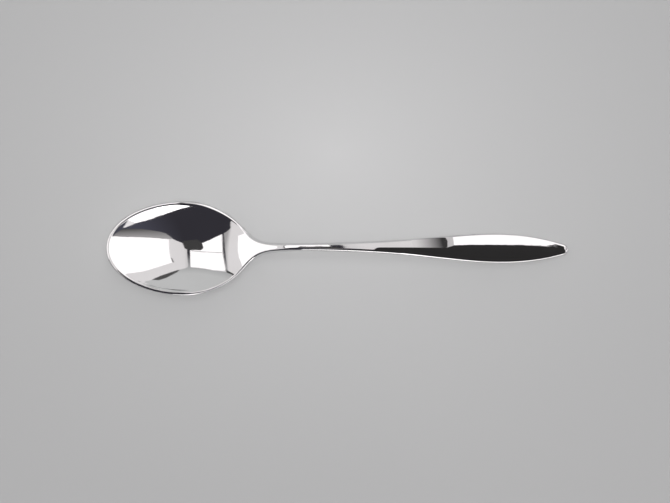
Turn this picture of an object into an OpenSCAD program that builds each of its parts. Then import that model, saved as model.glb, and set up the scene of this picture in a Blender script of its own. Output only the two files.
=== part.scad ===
// Teaspoon, hollow side up, as it rests on a table.
// It is one piece of stainless steel: a blank that is rolled thin at the bowl and at the
// edges, cut to its outline, pressed into shape and polished all over. It has no joint,
// rivet or separate handle, so it is one solid.
// X runs along the spoon, with the bowl at -X and the handle's nose at +X. Y is across
// it and Z is up. The origin lies under the middle of its length, on the table.

/* [Whole spoon] */
// Length over all, from the tip of the bowl to the nose of the handle
spoon_l = 140; // [126:1:154]

/* [Bowl] */
// Length of the bowl and its shoulder, from the tip to where the neck is thin
bowl_l = 50; // [46:0.5:55]
// Width of the bowl over its rim
bowl_w = 28.6; // [25:0.2:32]
// Depth of the hollow at its lowest, under the rim beside the middle of the bowl
hollow_depth = 6.3; // [4.5:0.1:8]
// Thickness of the wall at the bottom of the hollow
wall = 1.5; // [1.3:0.05:2]
// Thickness of the rim, which is rounded right over
rim_t = 1.4; // [1.1:0.05:1.6]
// How much higher the rim is at the tip than beside the middle of the bowl
tip_rise = 1; // [0:0.1:2]
// How much lower the rim falls towards the shoulder, before it climbs into the neck
shoulder_dip = 2.2; // [0:0.1:3]

/* [Neck] */
// Width of the neck at its thinnest
neck_w = 2.56; // [2:0.02:3.6]
// Height of the neck's section there
neck_t = 2.9; // [2.2:0.05:3.6]
// Height of the arch over the table, at the top of the neck
arch_h = 13.1; // [12:0.1:15]

/* [Handle] */
// Width of the handle at its widest
handle_w = 9; // [7.5:0.1:11]
// Thickness of the handle along its middle
handle_t = 2.4; // [2:0.05:3]
// Thickness of the handle along its edges
edge_t = 1.5; // [1.1:0.05:1.9]
// How far in from the outline the rounding of the handle's edges reaches
edge_reach = 0.8; // [0.5:0.05:1]

/* [Fineness] */
// Rings of the loft from one station to the next
rings_per_station = 5; // [3:1:6]
// Steps across the top and across the underside
steps_across = 16; // [10:2:18]
// Steps round each edge
steps_round_edge = 6; // [4:1:8]

/* [Hidden] */
steel = [0.74, 0.74, 0.75];

// How far the middle of the blank is pressed down under the edges of the bowl
press_depth = hollow_depth + (wall - rim_t) / 2;
// The same, and the extra thickness of the wall, for each unit of half width
full_dish = press_depth / (bowl_w - rim_t) * 2;
wall_swell = (wall - rim_t) / (bowl_w - rim_t);
// Crown of the handle for each unit of half width: the middle of the metal rises by it
// and half the thickness grows by as much, so that the back stays flat
handle_crown = (handle_t - edge_t) / (handle_w - 2 * edge_reach);
// Heights over the table of the middle of the metal, at the bowl's rim and in the neck
rim_level = hollow_depth + wall - rim_t / 2;
arch_level = arch_h - neck_t / 2;
// The curve across the hollow: 2 is a parabola, and more makes the bottom flatter
dish_power = 2.1;
// The handle's top falls to either side of a soft ridge: width of its rounding as a
// share of the half width
ridge_share = 0.08;
handle_l = spoon_l - bowl_l;
// The rounding of the neck takes in nearly all of its half width
neck_reach = 0.9 * neck_w / 2;

// The spoon is a loft through stations. Each station says how the metal lies there:
// [place along the spoon, half width, height of the edges, dish for each unit of half
//  width, crown for each unit of half width, reach of the rounded edge, half the edge's
//  thickness, swell of the wall for each unit of half width]
// The stations are the control points of a smooth curve, which passes a little inside
// them, so the widest shares are a little over 1.

// Bowl: shares of its length, of its width, of the rise to the tip, of the dip at the
// shoulder, of the dish, of the way that the edge has thickened into the neck and of the
// rim's rounding, which draws in where the edge stands steeper
bowl_shares = [
    [0.024, 0.390, 0.98, 0, 0.36, 0, 1],
    [0.120, 0.700, 0.80, 0, 0.66, 0, 1],
    [0.265, 0.925, 0.40, 0, 0.875, 0, 1],
    [0.440, 1.018, 0.08, 0, 0.985, 0, 0.95],
    [0.580, 0.980, 0, 0.25, 0.975, 0, 0.80],
    [0.700, 0.800, 0, 0.90, 0.665, 0.05, 0.65],
    [0.790, 0.595, 0, 1.25, 0.37, 0.15, 0.60],
    [0.870, 0.265, 0, 1.12, 0.20, 0.35, 0.90],
];
// Shoulder and neck: shares of the bowl's length, of the neck's width, of the climb
// from the bowl's rim to the arch, of the dish that is left and of the neck's rounding
neck_shares = [
    [0.950, 1.300, 0.165, 0.10, 0.50],
    [1.070, 0.995, 0.772, 0, 1],
    [1.180, 1.000, 0.982, 0, 1],
];
// Handle: shares of its length, of its width, of the arch's height and of its crown
handle_shares = [
    [0.180, 0.290, 1.031, 0.10],
    [0.390, 0.415, 0.961, 0.50],
    [0.550, 0.730, 0.839, 0.90],
    [0.685, 0.985, 0.686, 1],
    [0.790, 1.025, 0.519, 1],
    [0.875, 0.860, 0.353, 1],
    [0.935, 0.640, 0.230, 0.90],
    [0.972, 0.445, 0.161, 0.60],
    [0.993, 0.370, 0.126, 0.30],
];

// a at share 0 and b at share 1
function mix(a, b, share) = a + (b - a) * share;

// The stations of the three stretches, from their shares
bowl_stations = [
    for (s = bowl_shares)
        [
            s[0] * bowl_l,
            s[1] * bowl_w / 2,
            rim_level + s[2] * tip_rise - s[3] * shoulder_dip,
            s[4] * full_dish,
            0,
            s[6] * rim_t / 2,
            mix(rim_t, neck_t, s[5]) / 2,
            wall_swell * (1 - s[5]),
        ]
];
neck_stations = [
    for (s = neck_shares)
        [
            s[0] * bowl_l,
            s[1] * neck_w / 2,
            mix(rim_level, arch_level, s[2]),
            s[3] * full_dish,
            0,
            mix(rim_t / 2, neck_reach, s[4]),
            neck_t / 2,
            0,
        ]
];
handle_stations = [
    for (s = handle_shares)
        [
            bowl_l + s[0] * handle_l,
            s[1] * handle_w / 2,
            s[2] * arch_level,
            0,
            s[3] * handle_crown,
            mix(neck_reach, edge_reach, s[3]),
            mix(neck_t, edge_t, s[3]) / 2,
            0,
        ]
];
inner_stations = concat(bowl_stations, neck_stations, handle_stations);

// A station seen in a mirror set across the end of the spoon: width, dish and crown,
// which fall to nothing at an end, change sign, so the outline closes in a true round
function mirrored(s) = [s[0], -s[1], s[2], -s[3], -s[4], s[5], s[6], s[7]];
// The station at an end whose curve passes through the wanted place, height and edge
function end_station(end, next) = 1.5 * end - (next + mirrored(next)) / 4;

last = len(inner_stations) - 1;
tip_wanted = [0, 0, rim_level + tip_rise, 0, 0, rim_t / 2, rim_t / 2, wall_swell];
// Height of the nose as a share of the arch's
nose_share = 0.123;
nose_wanted = [spoon_l, 0, nose_share * arch_level, 0, 0, edge_reach, edge_t / 2, 0];
stations = concat(
    [mirrored(inner_stations[0])],
    [end_station(tip_wanted, inner_stations[0])],
    inner_stations,
    [end_station(nose_wanted, inner_stations[last])],
    [mirrored(inner_stations[last])]
);
spans = len(stations) - 3;
ring_count = spans * rings_per_station;

// Uniform cubic B-spline through the stations: the weights of the four stations that
// act at share u of a span, and those of the curve's rate of change
function weights(u) = [pow(1 - u, 3), 3 * u * u * u - 6 * u * u + 4,
    -3 * u * u * u + 3 * u * u + 3 * u + 1, u * u * u] / 6;
function rate_weights(u) = [-pow(1 - u, 2), 3 * u * u - 4 * u, -3 * u * u + 2 * u + 1, u * u] / 2;
function span_of(t) = min(floor(t), spans - 1);
function four_stations(t) = [for (k = [0 : 3]) stations[span_of(t) + k]];
function station(t) = weights(t - span_of(t)) * four_stations(t);
function rate(t) = rate_weights(t - span_of(t)) * four_stations(t);

function unit(v) = v / norm(v);
// Outward direction of the outline, seen from above, on the +Y side
function outward(t) = let (r = rate(t)) unit([-r[1], r[0], 0]);

// The curve across the hollow and that across the handle's top, for a share v of the
// way out to the edge: both are 1 in the middle and 0 at the edge
function hollow(v) = 1 - pow(abs(v), dish_power);
function from_ridge(v) = sqrt(v * v + ridge_share * ridge_share) - ridge_share;
function ridge(v) = 1 - from_ridge(v) / from_ridge(1);
// Half the distance between the edge's lines, which run inside the outline by the
// reach of the rounding
function half_between(t) = let (s = station(t)) s[1] - s[5] * outward(t).y;

// The middle of the metal at station t: dished below the edge's line or crowned above it
function middle(t, v) =
    let (s = station(t), half = half_between(t))
    [
        s[0] - s[5] * outward(t).x,
        half * v,
        s[2] + half * (s[4] * ridge(v) - s[3] * hollow(v)),
    ];

// Direction square to the middle of the metal, from two short steps along and across
little = 0.002;
function square_to(t, v) =
    let (at = min(max(t, 4 * little), spans - 4 * little))
    unit(cross(middle(at + little, v) - middle(at - little, v),
        middle(at, v + little) - middle(at, v - little)));

// Half the thickness there: that of the edge, and the wall's swell or the crown
function half_thick(t, v) =
    let (s = station(t))
    s[6] + half_between(t) * (s[7] * pow(1 - v * v, 2) + s[4] * ridge(v));

// A point of the top (side 1) or of the underside (side -1)
function face_point(t, v, side) = middle(t, v) + side * half_thick(t, v) * square_to(t, v);

// A point of the rounded edge: angle 90 is its top, 0 is the outline and -90 the back
function edge_point(t, y_side, angle) =
    let (
        s = station(t),
        up = square_to(t, y_side),
        n = outward(t),
        plan = [n.x, y_side * n.y, 0],
        out = unit(plan - (plan * up) * up)
    )
    middle(t, y_side) + s[5] * cos(angle) * out + s[6] * sin(angle) * up;

// One ring: over the top to +Y, round that edge, back under and round the -Y edge
function ring(t) = concat(
    [for (k = [0 : steps_across]) face_point(t, 2 * k / steps_across - 1, 1)],
    [for (k = [1 : steps_round_edge - 1]) edge_point(t, 1, 90 - 180 * k / steps_round_edge)],
    [for (k = [0 : steps_across]) face_point(t, 1 - 2 * k / steps_across, -1)],
    [for (k = [1 : steps_round_edge - 1]) edge_point(t, -1, 180 * k / steps_round_edge - 90)]
);
ring_size = 2 * (steps_across + steps_round_edge);
raw_points = [for (i = [0 : ring_count]) each ring(i / rings_per_station)];

// The spoon stands on the lowest point of its bowl and on its nose. A slight slant
// along its length brings both of them down to the table, and its middle to the origin.
bowl_low = min([for (p = raw_points) if (p.x < bowl_l) p.z]);
nose_low = min([for (p = raw_points) if (p.x > bowl_l) p.z]);
bowl_low_x = [for (p = raw_points) if (p.x < bowl_l && p.z == bowl_low) p.x][0];
nose_low_x = [for (p = raw_points) if (p.x > bowl_l && p.z == nose_low) p.x][0];
function on_table(p) = [
    p.x - spoon_l / 2,
    p.y,
    p.z - mix(bowl_low, nose_low, (p.x - bowl_low_x) / (nose_low_x - bowl_low_x)),
];
spoon_points = [for (p = raw_points) on_table(p)];

// At either end a ring shrinks to one arc over the edge: its top and its back are each
// one point, and the points of its two sides fall together
top_end = 0;
back_end = steps_across + steps_round_edge;
function on_arc(j) =
    j <= steps_across ? top_end
    : j < back_end ? j
    : j <= back_end + steps_across ? back_end
    : back_end + steps_across + back_end - j;
function point_index(i, j) =
    i * ring_size + (i == 0 || i == ring_count ? on_arc(j % ring_size) : j % ring_size);

// Two triangles for each step along and round, without those that an end closes up
function has_area(f) = f[0] != f[1] && f[1] != f[2] && f[2] != f[0];
spoon_faces = [
    for (i = [0 : ring_count - 1])
        for (j = [0 : ring_size - 1])
            let (
                a = point_index(i, j),
                b = point_index(i, j + 1),
                c = point_index(i + 1, j + 1),
                d = point_index(i + 1, j)
            )
            each [for (f = [[a, b, c], [a, c, d]]) if (has_area(f)) f]
];

// Bowl, neck and handle in one piece
module spoon() {
    color(steel)
        polyhedron(points = spoon_points, faces = spoon_faces, convexity = 6);
}

spoon();
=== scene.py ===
import math

import bpy
import numpy as np
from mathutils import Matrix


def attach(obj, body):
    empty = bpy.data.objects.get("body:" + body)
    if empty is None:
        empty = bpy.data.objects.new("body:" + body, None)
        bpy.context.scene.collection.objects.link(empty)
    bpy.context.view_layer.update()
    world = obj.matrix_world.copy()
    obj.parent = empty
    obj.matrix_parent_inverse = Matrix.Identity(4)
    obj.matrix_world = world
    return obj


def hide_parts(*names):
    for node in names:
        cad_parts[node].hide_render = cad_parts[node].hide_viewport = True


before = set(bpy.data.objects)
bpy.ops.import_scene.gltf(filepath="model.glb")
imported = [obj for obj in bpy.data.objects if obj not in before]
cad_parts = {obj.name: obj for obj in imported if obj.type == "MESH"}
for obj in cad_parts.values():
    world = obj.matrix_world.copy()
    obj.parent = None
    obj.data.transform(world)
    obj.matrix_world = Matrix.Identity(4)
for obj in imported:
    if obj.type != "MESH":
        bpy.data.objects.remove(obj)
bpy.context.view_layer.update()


# The spoon is one piece of stainless steel: rolled thin for the bowl, cut to its outline,
# pressed into shape and polished all over. It lies with its hollow up and stands on the
# lowest point of its bowl and on the nose of its handle.
spoon_l = 0.140
bowl_l = 0.050
bowl_w = 0.0286
hollow_depth = 0.0063
wall = 0.0015
rim_t = 0.0014
tip_rise = 0.001
shoulder_dip = 0.0022
neck_w = 0.00256
neck_t = 0.0029
arch_h = 0.0131
handle_w = 0.009
handle_t = 0.0024
edge_t = 0.0015
edge_reach = 0.0008

press_depth = hollow_depth + (wall - rim_t) / 2
full_dish = press_depth / (bowl_w - rim_t) * 2
wall_swell = (wall - rim_t) / (bowl_w - rim_t)
handle_crown = (handle_t - edge_t) / (handle_w - 2 * edge_reach)
rim_level = hollow_depth + wall - rim_t / 2
arch_level = arch_h - neck_t / 2
neck_rounding = 0.9
neck_reach = neck_rounding * neck_w / 2
dish_power = 2.1
ridge_share = 0.08

# Shares of the lengths above, station by station from the tip of the bowl to the nose. In the
# bowl: place, width, rise to the tip, dip at the shoulder, dish, thickening of the edge and
# its rounding.
bowl_shares = np.array([
    [0.024, 0.390, 0.98, 0.00, 0.360, 0.00, 1.00],
    [0.120, 0.700, 0.80, 0.00, 0.660, 0.00, 1.00],
    [0.265, 0.925, 0.40, 0.00, 0.875, 0.00, 1.00],
    [0.440, 1.018, 0.08, 0.00, 0.985, 0.00, 0.95],
    [0.580, 0.980, 0.00, 0.25, 0.975, 0.00, 0.80],
    [0.700, 0.800, 0.00, 0.90, 0.665, 0.05, 0.65],
    [0.790, 0.595, 0.00, 1.25, 0.370, 0.15, 0.60],
    [0.870, 0.265, 0.00, 1.12, 0.200, 0.35, 0.90],
])
# In the neck: place, width, climb to the arch, dish and rounding.
neck_shares = np.array([
    [0.950, 1.300, 0.165, 0.10, 0.50],
    [1.070, 0.995, 0.772, 0.00, 1.00],
    [1.180, 1.000, 0.982, 0.00, 1.00],
])
# In the handle: place, width, height and crown.
handle_shares = np.array([
    [0.180, 0.290, 1.031, 0.10],
    [0.390, 0.415, 0.961, 0.50],
    [0.550, 0.730, 0.839, 0.90],
    [0.685, 0.985, 0.686, 1.00],
    [0.790, 1.025, 0.519, 1.00],
    [0.875, 0.860, 0.353, 1.00],
    [0.935, 0.640, 0.230, 0.90],
    [0.972, 0.445, 0.161, 0.60],
    [0.993, 0.370, 0.126, 0.30],
])
nose_share = 0.123

# What each column of a finished station holds.
at_place, at_half, at_level, at_dish, at_crown, at_reach, at_thick, at_swell = range(8)


def between(a, b, share):
    """a at share 0 and b at share 1, in proportion."""
    return a + (b - a) * share


def spoon_stations():
    """How the metal lies at each station: its place along the spoon, half width, height of the
    edges, dish and crown per unit of half width, reach of the rounded edge, half the edge's
    thickness and the wall's swell per unit of half width. Beyond an end lies the mirror image of
    the station before it, and the station at the end is 3/2 of the end less a quarter of its two
    neighbours, so that the spline passes through the end."""
    b, n, h = bowl_shares.T, neck_shares.T, handle_shares.T
    none_b, none_n, none_h = 0 * b[0], 0 * n[0], 0 * h[0]
    bowl = [b[0] * bowl_l, b[1] * bowl_w / 2,
            rim_level + b[2] * tip_rise - b[3] * shoulder_dip, b[4] * full_dish, none_b,
            b[6] * rim_t / 2, between(rim_t, neck_t, b[5]) / 2, wall_swell * (1 - b[5])]
    neck = [n[0] * bowl_l, n[1] * neck_w / 2,
            between(rim_level, arch_level, n[2]), n[3] * full_dish, none_n,
            between(rim_t / 2, neck_reach, n[4]), none_n + neck_t / 2, none_n]
    handle = [bowl_l + h[0] * (spoon_l - bowl_l), h[1] * handle_w / 2,
              h[2] * arch_level, none_h, h[3] * handle_crown,
              between(neck_reach, edge_reach, h[3]), between(neck_t, edge_t, h[3]) / 2, none_h]
    inner = np.hstack([bowl, neck, handle]).T
    across_end = np.array([1, -1, 1, -1, -1, 1, 1, 1])
    tip = np.array([0, 0, rim_level + tip_rise, 0, 0, rim_t / 2, rim_t / 2, wall_swell])
    nose = np.array([spoon_l, 0, nose_share * arch_level, 0, 0, edge_reach, edge_t / 2, 0])
    first, last = inner[0], inner[-1]
    return np.vstack([first * across_end, 1.5 * tip - (first + first * across_end) / 4, inner,
                      1.5 * nose - (last + last * across_end) / 4, last * across_end])


stations = spoon_stations()
spans = len(stations) - 3


def station_at(t):
    """Uniform cubic B-spline led by the stations: the value at t spans and its rate of change."""
    k = np.minimum(np.floor(t).astype(int), spans - 1)
    u = (t - k)[..., None]
    a, b, c, d = (stations[k + step] for step in range(4))
    value = ((1 - u) ** 3 * a + (3 * u ** 3 - 6 * u ** 2 + 4) * b
             + (-3 * u ** 3 + 3 * u ** 2 + 3 * u + 1) * c + u ** 3 * d) / 6
    rate = (-(1 - u) ** 2 * a + (3 * u ** 2 - 4 * u) * b
            + (-3 * u ** 2 + 2 * u + 1) * c + u ** 2 * d) / 2
    return value, rate


def unit(v):
    """The vector divided by its length."""
    return v / np.linalg.norm(v, axis=-1, keepdims=True)


def ridge(v):
    """Curve over the handle's top, 1 in the middle and 0 at the edge: two straight falls from a
    ridge that is rounded like a hyperbola."""
    from_ridge = np.sqrt(v ** 2 + ridge_share ** 2) - ridge_share
    return 1 - from_ridge / (math.sqrt(1 + ridge_share ** 2) - ridge_share)


def square_in_plan(rate):
    """Unit vector in plan, square to the outline's run."""
    return unit(np.stack([-rate[..., at_half], rate[..., at_place]], -1))


def half_between(s, rate):
    """Half the distance between the edge's lines, which lie inside the outline by the reach of
    the rounding."""
    return s[..., at_half] - s[..., at_reach] * square_in_plan(rate)[..., 1]


def middle(t, v):
    """The middle of the metal at share v of the way out to the edge, dished below the edge's line
    by 1 - |v| to a power or crowned above it by the ridge."""
    s, rate = station_at(t)
    half = half_between(s, rate)
    lengthways = s[..., at_place] - s[..., at_reach] * square_in_plan(rate)[..., 0]
    height = s[..., at_level] + half * (s[..., at_crown] * ridge(v)
                                        - s[..., at_dish] * (1 - np.abs(v) ** dish_power))
    return np.stack([lengthways, half * v, height], -1)


def square_to(t, v):
    """Unit vector square to the middle of the metal, from short steps along it and across it."""
    step = 0.002
    at = np.clip(t, 4 * step, spans - 4 * step)
    along = middle(at + step, v) - middle(at - step, v)
    crosswise = middle(at, v + step) - middle(at, v - step)
    return unit(np.cross(along, crosswise))


def face(t, v, side):
    """Top (side 1) or underside (side -1): the middle moved along its square vector by half the
    thickness. That is the edge's, and besides either the wall's swell times (1 - v squared)
    squared, or the crown."""
    s, rate = station_at(t)
    swell = s[..., at_swell] * (1 - v ** 2) ** 2 + s[..., at_crown] * ridge(v)
    thick = s[..., at_thick] + half_between(s, rate) * swell
    return middle(t, v) + side * thick[..., None] * square_to(t, v)


def rounded_edge(t, y_side, angle):
    """Half an ellipse over the edge, from the top at 90 degrees round the outline to the back."""
    s, rate = station_at(t)
    v = np.full_like(t, y_side)
    up = square_to(t, v)
    plan = unit(np.stack([-rate[..., at_half], y_side * rate[..., at_place], 0 * t], -1))
    out = unit(plan - (plan * up).sum(-1, keepdims=True) * up)
    reach, thick = s[..., at_reach] * np.cos(angle), s[..., at_thick] * np.sin(angle)
    return middle(t, v) + reach[..., None] * out + thick[..., None] * up


rings_per_span = 24
steps_across = 64
steps_round = 16
ring_at = np.arange(spans * rings_per_span + 1) / rings_per_span
share_across = np.linspace(-1, 1, steps_across + 1)
angle_round = np.radians(90 - 180 * np.arange(1, steps_round) / steps_round)

t, v = np.meshgrid(ring_at, share_across, indexing="ij")
te, angle = np.meshgrid(ring_at, angle_round, indexing="ij")
rings = np.concatenate([face(t, v, 1), rounded_edge(te, 1, angle),
                        face(t, -v, -1), rounded_edge(te, -1, -angle)], 1)

# The lowest points of bowl and nose both come down to the table, and the middle to the origin.
points = rings.reshape(-1, 3)
bowl_part, handle_part = points[points[:, 0] < bowl_l], points[points[:, 0] >= bowl_l]
bowl_low = bowl_part[bowl_part[:, 2].argmin()]
nose_low = handle_part[handle_part[:, 2].argmin()]
towards_nose = (points[:, 0] - bowl_low[0]) / (nose_low[0] - bowl_low[0])
points[:, 2] -= between(bowl_low[2], nose_low[2], towards_nose)
points[:, 0] -= spoon_l / 2

# Two triangles for each step along and round. At either end the ring shrinks to one arc.
ring_count, ring_size = rings.shape[:2]
number = np.arange(ring_count * ring_size).reshape(ring_count, ring_size)
back = steps_across + steps_round
j = np.arange(ring_size)
on_arc = np.where(j <= back + steps_across, back, 2 * back + steps_across - j)
on_arc = np.where(j <= steps_across, 0, np.where(j < back, j, on_arc))
number[0] = on_arc
number[-1] = (ring_count - 1) * ring_size + on_arc
beside = np.roll(number, -1, 1)
a, b, c, d = number[:-1], beside[:-1], beside[1:], number[1:]
triangles = np.stack([np.stack([a, b, c], -1), np.stack([a, c, d], -1)], 2).reshape(-1, 3)
p, q, r = triangles.T
triangles = triangles[(p != q) & (q != r) & (r != p)]
used, triangles = np.unique(triangles, return_inverse=True)


def put_in_scene(name, data):
    """A new object that shows the data, linked to the scene."""
    thing = bpy.data.objects.new(name, data)
    bpy.context.scene.collection.objects.link(thing)
    return thing


spoon_mesh = bpy.data.meshes.new("spoon_polished")
spoon_mesh.from_pydata(points[used], [], triangles.reshape(-1, 3))
spoon_mesh.polygons.foreach_set("use_smooth", np.ones(len(spoon_mesh.polygons), bool))
spoon = put_in_scene("spoon_polished", spoon_mesh)


def mapped(tree, value, low, high, at_low=0.0, at_high=1.0):
    """The value mapped in proportion from low and high to at_low and at_high, and held beyond."""
    node = tree.nodes.new("ShaderNodeMapRange")
    node.inputs["From Min"].default_value = low
    node.inputs["From Max"].default_value = high
    node.inputs["To Min"].default_value = at_low
    node.inputs["To Max"].default_value = at_high
    tree.links.new(value, node.inputs["Value"])
    return node.outputs["Result"]


# Mirror-polished steel: nearly clear reflections, with the faint streaks of the polishing
# wheel along the spoon and the slight unevenness of pressed metal.
steel = bpy.data.materials.new("mirror_polished_steel")
steel.use_nodes = True
nodes, links = steel.node_tree.nodes, steel.node_tree.links
shader = nodes["Principled BSDF"]
shader.inputs["Metallic"].default_value = 1.0
coords = nodes.new("ShaderNodeTexCoord")
lengthwise = nodes.new("ShaderNodeMapping")
lengthwise.inputs["Scale"].default_value = (60, 2600, 2600)
links.new(coords.outputs["Object"], lengthwise.inputs["Vector"])
streaks = nodes.new("ShaderNodeTexNoise")
streaks.inputs["Scale"].default_value = 1.0
streaks.inputs["Detail"].default_value = 4.0
links.new(lengthwise.outputs["Vector"], streaks.inputs["Vector"])
patches = nodes.new("ShaderNodeTexNoise")
patches.inputs["Scale"].default_value = 90.0
patches.inputs["Detail"].default_value = 2.0
links.new(coords.outputs["Object"], patches.inputs["Vector"])
tone = nodes.new("ShaderNodeValToRGB")
tone.color_ramp.elements[0].position = 0.3
tone.color_ramp.elements[0].color = (0.760, 0.758, 0.757, 1)
tone.color_ramp.elements[1].position = 0.7
tone.color_ramp.elements[1].color = (0.800, 0.800, 0.803, 1)
links.new(patches.outputs["Fac"], tone.inputs["Fac"])
links.new(tone.outputs["Color"], shader.inputs["Base Color"])
gloss = mapped(steel.node_tree, streaks.outputs["Fac"], 0.35, 0.70, 0.025, 0.060)
links.new(gloss, shader.inputs["Roughness"])
unevenness = nodes.new("ShaderNodeBump")
unevenness.inputs["Strength"].default_value = 0.05
unevenness.inputs["Distance"].default_value = 0.00005
links.new(streaks.outputs["Fac"], unevenness.inputs["Height"])
links.new(unevenness.outputs["Normal"], shader.inputs["Normal"])
spoon_mesh.materials.append(steel)

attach(spoon, "root")
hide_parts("spoon")


# The table is a wide plain sheet of pale paper, with a painted pool of light that makes it palest
# beside the middle of the spoon.
table_half = 3.0


def flat_sheet(name, corners, height):
    """A level sheet of one face, with its corners in metres."""
    mesh = bpy.data.meshes.new(name)
    mesh.from_pydata([(x, y, height) for x, y in corners], [], [tuple(range(len(corners)))])
    return mesh


table_mesh = flat_sheet("table", [(-table_half, -table_half), (table_half, -table_half),
                                  (table_half, table_half), (-table_half, table_half)], 0)
table = put_in_scene("table", table_mesh)
paper = bpy.data.materials.new("pale_paper_with_painted_light")
paper.use_nodes = True
nodes, links = paper.node_tree.nodes, paper.node_tree.links
shader = nodes["Principled BSDF"]
shader.inputs["Roughness"].default_value = 0.9
shader.inputs["Specular IOR Level"].default_value = 0.1
coords = nodes.new("ShaderNodeTexCoord")
centred = nodes.new("ShaderNodeMapping")
centred.vector_type = "TEXTURE"
centred.inputs["Location"].default_value = (0.0, 0.03, 0)
centred.inputs["Scale"].default_value = (0.19, 0.15, 1)
links.new(coords.outputs["Object"], centred.inputs["Vector"])
# Painted light: a round fade makes the table's colour palest beside the middle of the spoon and
# darker towards the edges.
painted_light_pool = nodes.new("ShaderNodeTexGradient")
painted_light_pool.gradient_type = "QUADRATIC_SPHERE"
links.new(centred.outputs["Vector"], painted_light_pool.inputs["Vector"])
pale = nodes.new("ShaderNodeValToRGB")
pale.color_ramp.elements[0].color = (0.345, 0.345, 0.345, 1)
pale.color_ramp.elements[1].color = (0.475, 0.475, 0.475, 1)
links.new(painted_light_pool.outputs["Fac"], pale.inputs["Fac"])
links.new(pale.outputs["Color"], shader.inputs["Base Color"])
table_mesh.materials.append(paper)


# The studio: white and grey panels hung level far above the table, which show in the steel. A
# corner is given as the slope of the line to it from the spoon, and a panel that overlaps
# another hangs a little below it or above it.
panel_height = 4.0
white, light_grey, mid_grey, dark = 1.40, 0.87, 0.66, 0.045


def show_panel(name, mesh, glow, fade=None):
    """Gives a panel its cloth and keeps it out of the camera's own view. The cloth glows evenly,
    or fades along one axis from its glow at the first place to another glow at the second. The
    brightest panels show in the steel alone, and the lamps light the table in their place."""
    panel = put_in_scene(name, mesh)
    cloth = bpy.data.materials.new(name + "_cloth")
    cloth.use_nodes = True
    nodes, links = cloth.node_tree.nodes, cloth.node_tree.links
    nodes.remove(nodes["Principled BSDF"])
    light = nodes.new("ShaderNodeEmission")
    light.inputs["Color"].default_value = (1.0, 0.965, 0.972, 1)
    light.inputs["Strength"].default_value = glow
    if fade:
        axis, full_at, low_at, low_glow = fade
        coords = nodes.new("ShaderNodeTexCoord")
        parts = nodes.new("ShaderNodeSeparateXYZ")
        links.new(coords.outputs["Object"], parts.inputs["Vector"])
        falling = mapped(cloth.node_tree, parts.outputs[axis], full_at, low_at, glow, low_glow)
        links.new(falling, light.inputs["Strength"])
    links.new(light.outputs["Emission"], nodes["Material Output"].inputs["Surface"])
    mesh.materials.append(cloth)
    panel.visible_camera = False
    panel.visible_diffuse = glow < 1
    return panel


def hang_panel(name, slopes, glow, drop=0.0, fade=None):
    """A level panel whose corners lie at the slopes times its height, as do the places between
    which it fades."""
    height = panel_height - drop
    if fade:
        axis, full_at, low_at, low_glow = fade
        fade = (axis, full_at * height, low_at * height, low_glow)
    corners = [(x * height, y * height) for x, y in slopes]
    show_panel(name, flat_sheet(name, corners, height), glow, fade)


hang_panel("panel_right", [
    (0.300, -0.30), (0.48, -0.364), (0.734, -0.395), (0.992, -0.414), (1.333, -0.498),
    (6, -1.9), (6, 14), (3.2, 8.0), (2.3, 4.6), (2.0, 3.4), (1.85, 2.9), (1.52, 2.34),
    (0.831, 1.489), (0.452, 0.942), (0.273, 0.645), (0.281, 0.465), (0.287, 0.327),
    (0.293, 0.131), (0.296, -0.071)], white, 0.02)
hang_panel("panel_right_corner", [
    (0.285, 0.36), (0.281, 0.465), (0.273, 0.645), (0.254, 0.635), (0.268, 0.465)], 0.12, 0.01)
hang_panel("strip_right", [
    (0.286, -0.374), (0.34, -0.36), (0.34, 0.5), (0.5, 0.8), (0.9, 1.4), (1.6, 2.3),
    (1.95, 2.85), (2.2, 3.4), (3.4, 8.0), (1.9, 7.2), (1.72, 5.0), (1.45, 4.1),
    (0.975, 3.101), (0.582, 2.028), (0.354, 1.462), (0.233, 1.185), (0.080, 0.945),
    (0.074, 0.822), (0.090, 0.404), (0.097, 0.138), (0.097, 0.0), (0.10, -0.07),
    (0.160, -0.153), (0.227, -0.255)], light_grey, 0.0, ("X", 0.14, 0.06, mid_grey))
hang_panel("wedge_right", [
    (0.20, 1.10), (0.233, 1.185), (0.354, 1.462), (0.582, 2.028), (0.975, 3.101),
    (0.74, 3.03), (0.706, 2.926), (0.504, 2.371), (0.349, 1.786), (0.25, 1.40)], 0.09, -0.01)
hang_panel("panel_left", [
    (0.046, -0.02), (0.048, 0.138), (0.042, 0.404), (0.030, 0.822), (0.022, 0.935),
    (-0.367, 1.047), (-0.579, 1.168), (-0.660, 1.09), (-0.659, 0.817), (-0.641, 0.395),
    (-0.626, 0.111), (-0.611, -0.149), (-0.590, -0.458), (-0.533, -0.377),
    (-0.432, -0.270), (-0.286, -0.181)], white)
hang_panel("panel_left_seam", [
    (0.035, 0.100), (-0.625, 0.185), (-0.625, 0.212), (0.035, 0.127)], mid_grey, 0.02)
hang_panel("strip_left", [
    (-0.606, -0.48), (-0.637, -0.149), (-0.656, 0.111), (-0.672, 0.395), (-0.690, 0.817),
    (-0.698, 1.03), (-0.77, 1.10), (-0.95, 1.25), (-2.5, 2.6), (-2.5, -2.2),
    (-0.66, -0.96), (-0.69, -0.65)], light_grey, 0.0, ("X", -0.71, -0.655, 0.45))
hang_panel("strip_left_end", [
    (-0.665, 0.98), (-0.698, 1.03), (-0.77, 1.10), (-0.95, 1.25), (-0.97, 1.37),
    (-0.77, 1.22), (-0.68, 1.16)], dark, 0.02)
hang_panel("panel_far_left", [
    (-0.96, -0.32), (-0.912, -0.035), (-0.918, 0.160), (-1.019, 0.411), (-1.451, 0.80),
    (-8, 6.5), (-8, -2.2), (-1.652, -0.50)], white, 0.02)

# One more white panel stands low in front, curved round the right-hand side, brightest where
# it is lowest. A narrow dark one stands low behind.
stand_reach = 1.5


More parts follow.
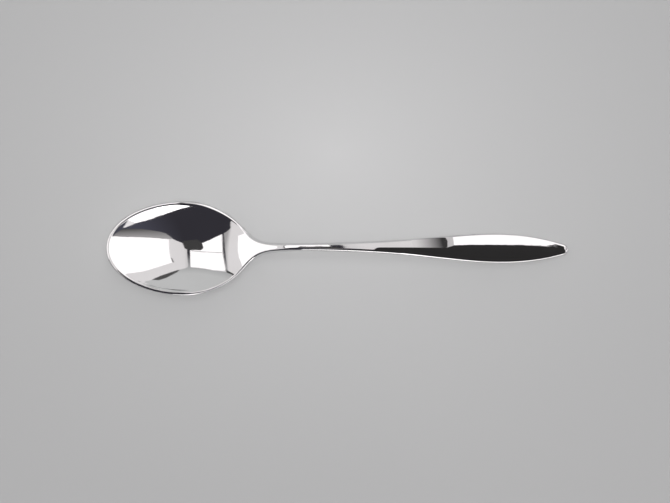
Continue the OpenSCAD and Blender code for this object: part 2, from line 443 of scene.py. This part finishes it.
def stand_panel(name, posts, glow):
    """An upright panel round the spoon, given the azimuth of each post and the elevations of its
    bottom and top, in degrees."""
    points = []
    for azimuth, bottom, top in np.radians(posts):
        x, y = stand_reach * math.cos(azimuth), stand_reach * math.sin(azimuth)
        points += [(x, y, stand_reach * math.tan(bottom)), (x, y, stand_reach * math.tan(top))]
    mesh = bpy.data.meshes.new(name)
    between_posts = [(k, k + 2, k + 3, k + 1) for k in range(0, 2 * len(posts) - 2, 2)]
    mesh.from_pydata(points, [], between_posts)
    show_panel(name, mesh, glow)


stand_panel("panel_front_side", [(-43, 32.4, 33.6), (-48, 29.8, 33), (-55, 24.5, 31)], 1.05)
stand_panel("panel_front_right", [(-55, 24.5, 31), (-63, 18, 30), (-68, 13, 29),
                                  (-77, 1.2, 24)], 1.6)
stand_panel("panel_front", [(-77, 1.2, 24), (-83, 1.2, 19), (-88, 1.2, 14), (-92, 1.2, 11),
                            (-98, 1.2, 9)], 3.0)
stand_panel("shade_back", [(69, 9.5, 12), (72, 7.5, 10), (76, 5.2, 8.4), (80, 3.8, 6.4),
                           (84, 2.6, 4.4), (88, 1.8, 3.0), (93, 1.0, 1.5)], dark)

# The dark body of the camera shows between the panels, and small level cards close by grey or
# brighten single parts of the spoon. The closer a card is held, the shorter the part.
body_height, bowl_card_height, handle_card_height, nose_card_height = 0.66, 0.08, 0.025, 0.012


def hold_card(name, corners, height, glow, fade=None):
    """A level card with its corners in metres, which shows in the steel alone and casts no
    shadow."""
    card = show_panel(name, flat_sheet(name, corners, height), glow, fade)
    card.visible_diffuse = False
    card.visible_shadow = False


hold_card("camera_body", [
    (0.048, 0.031), (0.007, 0.062), (-0.070, 0.057), (-0.165, 0.062), (-0.205, 0.035),
    (-0.213, -0.003), (-0.184, -0.111), (-0.10, -0.20), (0.05, -0.16),
    (0.065, -0.098)], body_height, 0.06)
hold_card("card_bowl", [
    (-0.0283, -0.0210), (-0.0190, -0.0235), (-0.0040, -0.0260), (0.0110, -0.0280),
    (0.0300, -0.0320), (0.0200, -0.0640), (0.0010, -0.0590), (-0.0110, -0.0520),
    (-0.0212, -0.0455), (-0.0250, -0.0395), (-0.0288, -0.0252)],
    bowl_card_height, 0.42, ("Y", -0.027, -0.060, 0.09))
hold_card("card_handle", [
    (-0.002, -0.016), (-0.002, -0.0085), (0.008, -0.0060), (0.0146, -0.0012),
    (0.0366, -0.0005), (0.0380, 0.0052), (0.0398, 0.0096), (0.0461, 0.0110),
    (0.0596, 0.0133), (0.0703, 0.0156), (0.0757, 0.0165), (0.0806, 0.0171),
    (0.0834, 0.0164), (0.0856, 0.0120), (0.10, 0.004), (0.13, -0.01), (0.13, -0.045),
    (0.05, -0.045), (0.022, -0.026)], handle_card_height, 0.030)
hold_card("card_handle_front", [
    (0.022, -0.026), (0.05, -0.045), (0.13, -0.045), (0.16, -0.06), (0.16, -0.22),
    (0.022, -0.16)], handle_card_height, 2.6)
hold_card("card_handle_shade", [
    (0.0255, -0.0005), (0.0366, -0.0005), (0.0370, 0.003), (0.0375, 0.0102),
    (0.0378, 0.0115), (0.0374, 0.0124), (0.0374, 0.10), (0.0255, 0.10)],
    handle_card_height, 0.82, ("X", 0.0265, 0.0358, dark))
hold_card("card_handle_light", [
    (0.0366, -0.0005), (0.0380, 0.0052), (0.0398, 0.0096), (0.0400, 0.0124),
    (0.0402, 0.10), (0.0374, 0.10), (0.0374, 0.0124), (0.0378, 0.0115),
    (0.0375, 0.0102), (0.0370, 0.003)], handle_card_height, mid_grey)
hold_card("card_nose", [
    (0.0700, 0.0073), (0.0718, 0.0073), (0.0724, 0.0071), (0.0727, 0.0068),
    (0.0730, 0.0062), (0.0734, 0.0059), (0.0744, 0.0052), (0.0758, 0.0047),
    (0.085, 0.0047), (0.085, 0.020), (0.070, 0.020)], nose_card_height, white)

# Two soft lamps light the table: name, place, width, power and whether it casts a shadow. The
# stronger one casts none, so the other's shadow stays faint.
for name, place, width, power, shadow in (
        ("lamp_top", (0.0, 0.0, 1.5), 1.0, 22.0, False),
        ("lamp_back", (0.03, 0.25, 1.5), 0.65, 1.7, True)):
    lamp_data = bpy.data.lights.new(name, "AREA")
    lamp_data.shape = "DISK"
    lamp_data.size = width
    lamp_data.energy = power
    lamp_data.use_shadow = shadow
    lamp = put_in_scene(name, lamp_data)
    lamp.location = place
    x, y, z = place
    lamp.rotation_euler = (-math.atan2(y, z), math.atan2(x, z), 0)
    lamp.visible_glossy = False
    lamp.visible_camera = False

# The walls stand far off all round as a globe, dark in front, violet to the right and grey
# behind. The camera looks through them to a plain pale world.
walls_radius, walls_across, walls_rings = 100.0, 48, 24
rise, around = np.meshgrid(np.pi * (np.arange(walls_rings + 1) / walls_rings - 0.5),
                           2 * np.pi * np.arange(walls_across) / walls_across, indexing="ij")
walls_points = walls_radius * np.stack([np.cos(rise) * np.cos(around),
                                        np.cos(rise) * np.sin(around), np.sin(rise)], -1)
number = np.arange((walls_rings + 1) * walls_across).reshape(walls_rings + 1, walls_across)
beside = np.roll(number, -1, 1)
walls_faces = np.stack([number[:-1], number[1:], beside[1:], beside[:-1]], -1).reshape(-1, 4)
walls_mesh = bpy.data.meshes.new("walls")
walls_mesh.from_pydata(walls_points.reshape(-1, 3), [], walls_faces)
walls_mesh.polygons.foreach_set("use_smooth", np.ones(len(walls_mesh.polygons), bool))
show_panel("walls", walls_mesh, dark)
walls_tree = walls_mesh.materials[0].node_tree
nodes, links = walls_tree.nodes, walls_tree.links
coords = nodes.new("ShaderNodeTexCoord")
towards = nodes.new("ShaderNodeVectorMath")
towards.operation = "NORMALIZE"
links.new(coords.outputs["Object"], towards.inputs[0])
direction = nodes.new("ShaderNodeSeparateXYZ")
links.new(towards.outputs["Vector"], direction.inputs["Vector"])
to_right = mapped(walls_tree, direction.outputs["X"], 0.15, 0.55)
front_tone = nodes.new("ShaderNodeMix")
front_tone.data_type = "RGBA"
front_tone.inputs["A"].default_value = (0.038, 0.036, 0.045, 1)
front_tone.inputs["B"].default_value = (0.078, 0.077, 0.102, 1)
links.new(to_right, front_tone.inputs["Factor"])
to_back = mapped(walls_tree, direction.outputs["Y"], 0.24, 0.84)
wall_tone = nodes.new("ShaderNodeMix")
wall_tone.data_type = "RGBA"
wall_tone.inputs["B"].default_value = (0.62, 0.62, 0.62, 1)
links.new(front_tone.outputs["Result"], wall_tone.inputs["A"])
links.new(to_back, wall_tone.inputs["Factor"])
links.new(wall_tone.outputs["Result"], nodes["Emission"].inputs["Color"])
nodes["Emission"].inputs["Strength"].default_value = 1.0

studio = bpy.data.worlds.new("studio")
bpy.context.scene.world = studio
studio.use_nodes = True
studio.node_tree.nodes["Background"].inputs["Color"].default_value = (0.50, 0.50, 0.50, 1)


# The camera looks down on the spoon from its reach away, tilted a little to the front.
camera_data = bpy.data.cameras.new("camera")
camera_data.sensor_width = 36
camera_data.lens = 115.6
camera = put_in_scene("camera", camera_data)
tilt = math.radians(4.5)
reach = 0.65
look_x, look_y, look_z = -0.00106, -0.0009, 0.006
camera.location = (look_x, look_y - reach * math.sin(tilt), look_z + reach * math.cos(tilt))
camera.rotation_euler = (tilt, 0, 0)
bpy.context.scene.camera = camera
bpy.context.scene.view_settings.view_transform = "Standard"
